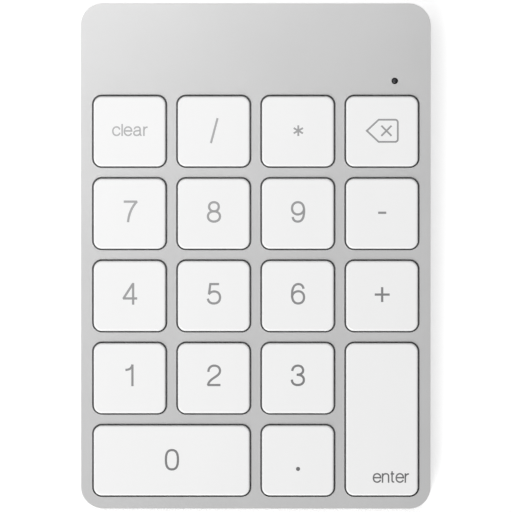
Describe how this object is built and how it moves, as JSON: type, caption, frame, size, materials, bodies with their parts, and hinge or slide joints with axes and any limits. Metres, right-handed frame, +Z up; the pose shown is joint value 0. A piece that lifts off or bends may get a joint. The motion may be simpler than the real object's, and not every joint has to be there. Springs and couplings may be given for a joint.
{
  "type": "numeric keypad",
  "caption": "Slim wedge-shaped wireless numeric keypad: silver metal case, low white scissor-switch keys in wells, tall enter key, wide zero key, status light, charging socket, power slider.",
  "frame": {"origin": "on the desk plane under the middle of the case, where the four rubber feet stand on Z = 0", "axes": "+X to the user's right, +Y away from the user towards the thick rear edge, +Z up; the deck slopes down 2 degrees towards the user"},
  "size_m": [0.079, 0.1142, 0.0105],
  "materials": {
    "case": "bead-blasted, clear anodised",
    "cover": "satin white moulding",
    "keycap": "satin white moulding, light grey printed legends",
    "lever": "moulded acetal, pale",
    "wire": "drawn steel wire",
    "silicone": "translucent silicone",
    "film": "polyester film with printed tracks",
    "plate": "stamped plate",
    "board": "solder resist over glass epoxy",
    "connector": "moulded nylon",
    "battery": "foil pouch",
    "lead": "sleeved lead",
    "socket": "drawn steel shell",
    "switch_body": "pressed steel frame",
    "slider": "fine-textured white moulding",
    "led": "moulded package",
    "lens": "smoked clear moulding",
    "foot": "matt moulded rubber",
    "screw": "bright nickel plate"
  },
  "bodies": {
    "case": {"top_case": "case", "bottom_cover": "cover", "scissor_clear": "lever", "scissor_divide": "lever", "scissor_multiply": "lever", "scissor_delete": "lever", "scissor_7": "lever", "scissor_8": "lever", "scissor_9": "lever", "scissor_minus": "lever", "scissor_4": "lever", "scissor_5": "lever", "scissor_6": "lever", "scissor_plus": "lever", "scissor_1": "lever", "scissor_2": "lever", "scissor_3": "lever", "scissor_enter": "lever", "scissor_0": "lever", "scissor_decimal": "lever", "dome_sheet": "silicone", "membrane": "film", "base_plate": "plate", "controller_board": "board", "tail_connector": "connector", "battery": "battery", "battery_lead": "lead", "usb_socket": "socket", "power_switch": "switch_body", "status_led": "led", "light_pipe": "lens", "foot_rear_left": "foot", "foot_rear_right": "foot", "foot_front_left": "foot", "foot_front_right": "foot", "cover_screw_rear_left": "screw", "cover_screw_rear_right": "screw", "cover_screw_front_left": "screw", "cover_screw_front_right": "screw"},
    "key_clear": {"keycap_clear": "keycap"},
    "key_divide": {"keycap_divide": "keycap"},
    "key_multiply": {"keycap_multiply": "keycap"},
    "key_delete": {"keycap_delete": "keycap"},
    "key_7": {"keycap_7": "keycap"},
    "key_8": {"keycap_8": "keycap"},
    "key_9": {"keycap_9": "keycap"},
    "key_minus": {"keycap_minus": "keycap"},
    "key_4": {"keycap_4": "keycap"},
    "key_5": {"keycap_5": "keycap"},
    "key_6": {"keycap_6": "keycap"},
    "key_plus": {"keycap_plus": "keycap"},
    "key_1": {"keycap_1": "keycap"},
    "key_2": {"keycap_2": "keycap"},
    "key_3": {"keycap_3": "keycap"},
    "key_enter": {"keycap_enter": "keycap"},
    "key_0": {"keycap_0": "keycap"},
    "key_decimal": {"keycap_decimal": "keycap"},
    "stabilizer_0": {"stabilizer_0": "wire"},
    "stabilizer_enter": {"stabilizer_enter": "wire"},
    "power_slider": {"power_slider": "slider"}
  },
  "joints": [
    {"name": "key_clear_press", "type": "slide", "parent": "case", "child": "key_clear", "axis": [0, 0.0349, -0.9994], "range_m": [0, 0.0015], "stiffness_N_per_m": 200, "springref_m": -0.0015, "deforming": ["scissor_clear", "dome_sheet"]},
    {"name": "key_divide_press", "type": "slide", "parent": "case", "child": "key_divide", "axis": [0, 0.0349, -0.9994], "range_m": [0, 0.0015], "stiffness_N_per_m": 200, "springref_m": -0.0015, "deforming": ["scissor_divide", "dome_sheet"]},
    {"name": "key_multiply_press", "type": "slide", "parent": "case", "child": "key_multiply", "axis": [0, 0.0349, -0.9994], "range_m": [0, 0.0015], "stiffness_N_per_m": 200, "springref_m": -0.0015, "deforming": ["scissor_multiply", "dome_sheet"]},
    {"name": "key_delete_press", "type": "slide", "parent": "case", "child": "key_delete", "axis": [0, 0.0349, -0.9994], "range_m": [0, 0.0015], "stiffness_N_per_m": 200, "springref_m": -0.0015, "deforming": ["scissor_delete", "dome_sheet"]},
    {"name": "key_7_press", "type": "slide", "parent": "case", "child": "key_7", "axis": [0, 0.0349, -0.9994], "range_m": [0, 0.0015], "stiffness_N_per_m": 200, "springref_m": -0.0015, "deforming": ["scissor_7", "dome_sheet"]},
    {"name": "key_8_press", "type": "slide", "parent": "case", "child": "key_8", "axis": [0, 0.0349, -0.9994], "range_m": [0, 0.0015], "stiffness_N_per_m": 200, "springref_m": -0.0015, "deforming": ["scissor_8", "dome_sheet"]},
    {"name": "key_9_press", "type": "slide", "parent": "case", "child": "key_9", "axis": [0, 0.0349, -0.9994], "range_m": [0, 0.0015], "stiffness_N_per_m": 200, "springref_m": -0.0015, "deforming": ["scissor_9", "dome_sheet"]},
    {"name": "key_minus_press", "type": "slide", "parent": "case", "child": "key_minus", "axis": [0, 0.0349, -0.9994], "range_m": [0, 0.0015], "stiffness_N_per_m": 200, "springref_m": -0.0015, "deforming": ["scissor_minus", "dome_sheet"]},
    {"name": "key_4_press", "type": "slide", "parent": "case", "child": "key_4", "axis": [0, 0.0349, -0.9994], "range_m": [0, 0.0015], "stiffness_N_per_m": 200, "springref_m": -0.0015, "deforming": ["scissor_4", "dome_sheet"]},
    {"name": "key_5_press", "type": "slide", "parent": "case", "child": "key_5", "axis": [0, 0.0349, -0.9994], "range_m": [0, 0.0015], "stiffness_N_per_m": 200, "springref_m": -0.0015, "deforming": ["scissor_5", "dome_sheet"]},
    {"name": "key_6_press", "type": "slide", "parent": "case", "child": "key_6", "axis": [0, 0.0349, -0.9994], "range_m": [0, 0.0015], "stiffness_N_per_m": 200, "springref_m": -0.0015, "deforming": ["scissor_6", "dome_sheet"]},
    {"name": "key_plus_press", "type": "slide", "parent": "case", "child": "key_plus", "axis": [0, 0.0349, -0.9994], "range_m": [0, 0.0015], "stiffness_N_per_m": 200, "springref_m": -0.0015, "deforming": ["scissor_plus", "dome_sheet"]},
    {"name": "key_1_press", "type": "slide", "parent": "case", "child": "key_1", "axis": [0, 0.0349, -0.9994], "range_m": [0, 0.0015], "stiffness_N_per_m": 200, "springref_m": -0.0015, "deforming": ["scissor_1", "dome_sheet"]},
    {"name": "key_2_press", "type": "slide", "parent": "case", "child": "key_2", "axis": [0, 0.0349, -0.9994], "range_m": [0, 0.0015], "stiffness_N_per_m": 200, "springref_m": -0.0015, "deforming": ["scissor_2", "dome_sheet"]},
    {"name": "key_3_press", "type": "slide", "parent": "case", "child": "key_3", "axis": [0, 0.0349, -0.9994], "range_m": [0, 0.0015], "stiffness_N_per_m": 200, "springref_m": -0.0015, "deforming": ["scissor_3", "dome_sheet"]},
    {"name": "key_enter_press", "type": "slide", "parent": "case", "child": "key_enter", "axis": [0, 0.0349, -0.9994], "range_m": [0, 0.0015], "stiffness_N_per_m": 200, "springref_m": -0.0015, "deforming": ["scissor_enter", "dome_sheet"]},
    {"name": "key_0_press", "type": "slide", "parent": "case", "child": "key_0", "axis": [0, 0.0349, -0.9994], "range_m": [0, 0.0015], "stiffness_N_per_m": 200, "springref_m": -0.0015, "deforming": ["scissor_0", "dome_sheet"]},
    {"name": "key_decimal_press", "type": "slide", "parent": "case", "child": "key_decimal", "axis": [0, 0.0349, -0.9994], "range_m": [0, 0.0015], "stiffness_N_per_m": 200, "springref_m": -0.0015, "deforming": ["scissor_decimal", "dome_sheet"]},
    {"name": "stabilizer_0_turn", "type": "hinge", "parent": "case", "child": "stabilizer_0", "pos_m": [-0.019, -0.04398, 0.00452], "axis": [-1, 0, 0], "range_deg": [0, 19.5]},
    {"name": "stabilizer_enter_turn", "type": "hinge", "parent": "case", "child": "stabilizer_enter", "pos_m": [0.03056, -0.03675, 0.00477], "axis": [0, 0.9994, 0.0349], "range_deg": [0, 19.5]},
    {"name": "power_slide", "type": "slide", "parent": "case", "child": "power_slider", "axis": [1, 0, 0], "range_m": [0, 0.002]}
  ],
  "couplings": [
    {"joint": "stabilizer_0_turn", "follows": "key_0_press", "rad_per_m": 225.82},
    {"joint": "stabilizer_enter_turn", "follows": "key_enter_press", "rad_per_m": 225.82}
  ]
}
